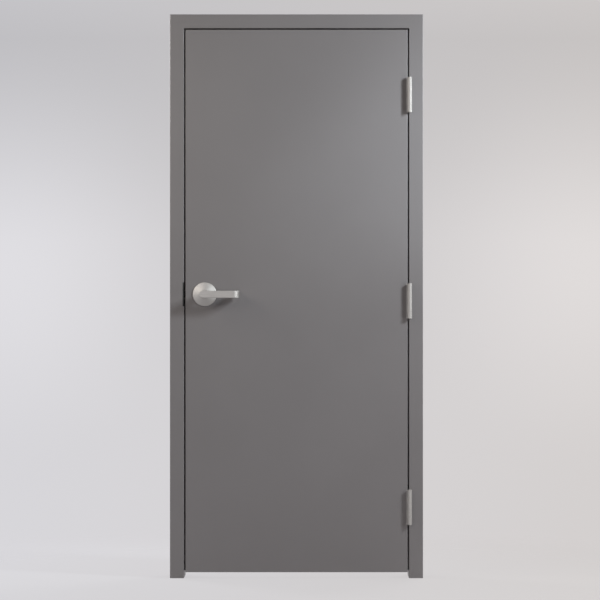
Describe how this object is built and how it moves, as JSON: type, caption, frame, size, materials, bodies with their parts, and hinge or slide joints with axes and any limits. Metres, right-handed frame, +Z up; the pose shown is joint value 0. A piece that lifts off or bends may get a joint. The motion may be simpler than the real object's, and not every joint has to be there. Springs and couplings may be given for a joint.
{
  "type": "steel utility door",
  "caption": "Flush grey steel door leaf on butt hinges in a pressed-steel frame, with a lever handle on a round rose and a latch; the leaf swings, the lever turns.",
  "frame": {"origin": "middle of the underside of the bolted foot in the hinge jamb, on the floor", "axes": "+Z up; the front, with the hinge barrels, faces -Y; +X from the leaf towards the hinge jamb"},
  "size_m": [0.9182, 0.206, 2.0458],
  "materials": {
    "grey_paint": "satin grey enamel",
    "zinc_sheet": "galvanised sheet",
    "satin_steel": "satin",
    "black_steel": "black oxide",
    "rubber": "matt"
  },
  "bodies": {
    "frame": {"hinge_jamb": "grey_paint", "strike_jamb": "grey_paint", "head": "grey_paint", "hinge_stop": "grey_paint", "strike_stop": "grey_paint", "head_stop": "grey_paint", "hinge_floor_anchor": "zinc_sheet", "strike_floor_anchor": "zinc_sheet", "hinge_wall_anchors": "zinc_sheet", "strike_wall_anchors": "zinc_sheet", "strike_plate": "black_steel", "strike_reinforcement": "zinc_sheet", "strike_box": "zinc_sheet", "silencers": "rubber", "top_hinge_frame_leaf": "satin_steel", "top_hinge_pin": "satin_steel", "top_hinge_reinforcement": "zinc_sheet", "middle_hinge_frame_leaf": "satin_steel", "middle_hinge_pin": "satin_steel", "middle_hinge_reinforcement": "zinc_sheet", "bottom_hinge_frame_leaf": "satin_steel", "bottom_hinge_pin": "satin_steel", "bottom_hinge_reinforcement": "zinc_sheet"},
    "leaf": {"front_skin": "grey_paint", "back_skin": "grey_paint", "top_channel": "grey_paint", "bottom_channel": "grey_paint", "front_rose": "satin_steel", "back_rose": "satin_steel", "latch_front": "satin_steel", "top_hinge_door_leaf": "satin_steel", "middle_hinge_door_leaf": "satin_steel", "bottom_hinge_door_leaf": "satin_steel"},
    "levers": {"front_lever": "satin_steel", "back_lever": "satin_steel", "spindle": "satin_steel"},
    "latch": {"latch_bolt": "black_steel"}
  },
  "joints": [
    {"name": "door_swing", "type": "hinge", "parent": "frame", "child": "leaf", "pos_m": [-0.02345, -0.0813, 0], "axis": [0, 0, 1], "range_deg": [0, 170]},
    {"name": "lever_turn", "type": "hinge", "parent": "leaf", "child": "levers", "pos_m": [-0.76755, -0.071, 1.03], "axis": [0, 1, 0], "range_deg": [0, 50], "stiffness_Nm_per_rad": 1.2, "springref_deg": -45.84},
    {"name": "latch_slide", "type": "slide", "parent": "leaf", "child": "latch", "axis": [1, 0, 0], "range_m": [0, 0.0127]}
  ],
  "couplings": [
    {"joint": "latch_slide", "follows": "lever_turn", "m_per_rad": 0.01455}
  ]
}
